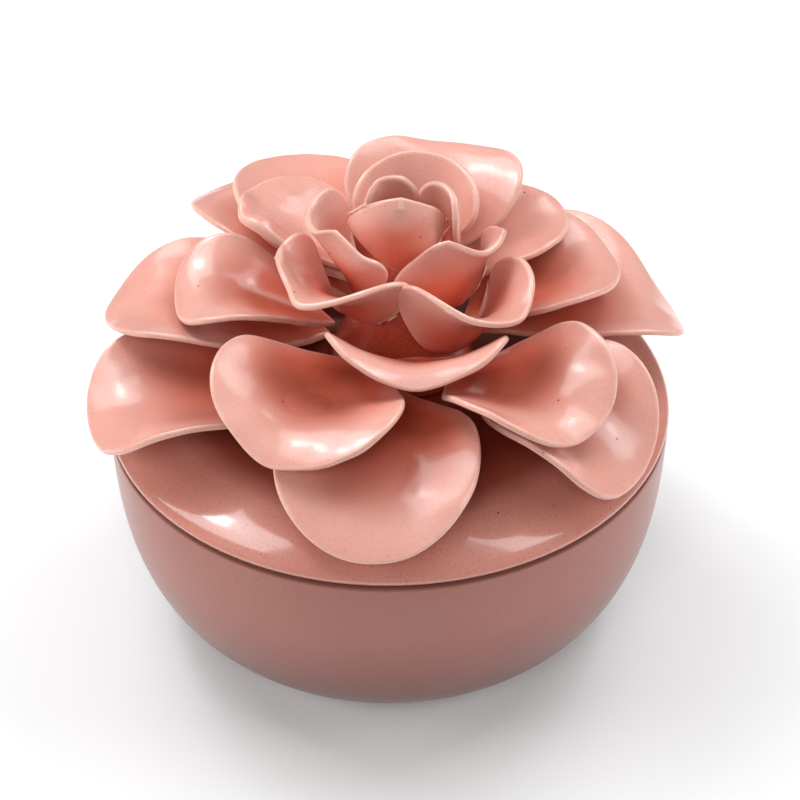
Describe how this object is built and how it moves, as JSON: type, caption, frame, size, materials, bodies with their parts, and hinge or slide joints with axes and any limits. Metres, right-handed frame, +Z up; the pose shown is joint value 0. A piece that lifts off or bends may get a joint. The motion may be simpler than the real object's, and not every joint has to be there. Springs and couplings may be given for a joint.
{
  "type": "lidded powder jar",
  "caption": "Round glazed ceramic powder jar: a squat bowl with a lift-off lid that carries a full flower of hand-shaped petals.",
  "frame": {"origin": "centre of the flat foot that the bowl stands on", "axes": "+Z up through the middle of the bowl and the lid, -Y towards the front of the flower, +X to the right seen from the front"},
  "size_m": [0.1478, 0.1415, 0.1175],
  "materials": {
    "bowl_glaze": "glossy, dusty rose with fine speckles",
    "lid_glaze": "glossy, salmon pink",
    "petal_glaze": "glossy, salmon pink, paler at the rims and deeper in the hollows"
  },
  "bodies": {
    "bowl": {"bowl": "bowl_glaze"},
    "lid": {"lid": "lid_glaze", "flower_boss": "petal_glaze", "outer_petal_front": "petal_glaze", "outer_petal_right": "petal_glaze", "outer_petal_back_right": "petal_glaze", "outer_petal_back": "petal_glaze", "outer_petal_rear": "petal_glaze", "outer_petal_back_left": "petal_glaze", "outer_petal_left": "petal_glaze", "second_petal_left": "petal_glaze", "second_petal_back_left": "petal_glaze", "middle_petal_front_left": "petal_glaze", "middle_petal_front_right": "petal_glaze", "middle_petal_right": "petal_glaze", "middle_petal_back": "petal_glaze", "middle_petal_back_left": "petal_glaze", "middle_petal_left": "petal_glaze", "upper_petal_front": "petal_glaze", "upper_petal_right": "petal_glaze", "upper_petal_left": "petal_glaze", "crown_petal_left": "petal_glaze", "crown_petal_right": "petal_glaze", "crown_petal_back": "petal_glaze", "inner_petal_left": "petal_glaze", "inner_petal_right": "petal_glaze", "inner_petal_back": "petal_glaze", "bud_petal_front": "petal_glaze", "bud_petal_back_right": "petal_glaze", "bud_petal_back_left": "petal_glaze"}
  },
  "joints": [
    {"name": "lid_lift", "type": "slide", "parent": "bowl", "child": "lid", "axis": [0, 0, 1], "range_m": [0, 0.1]}
  ]
}
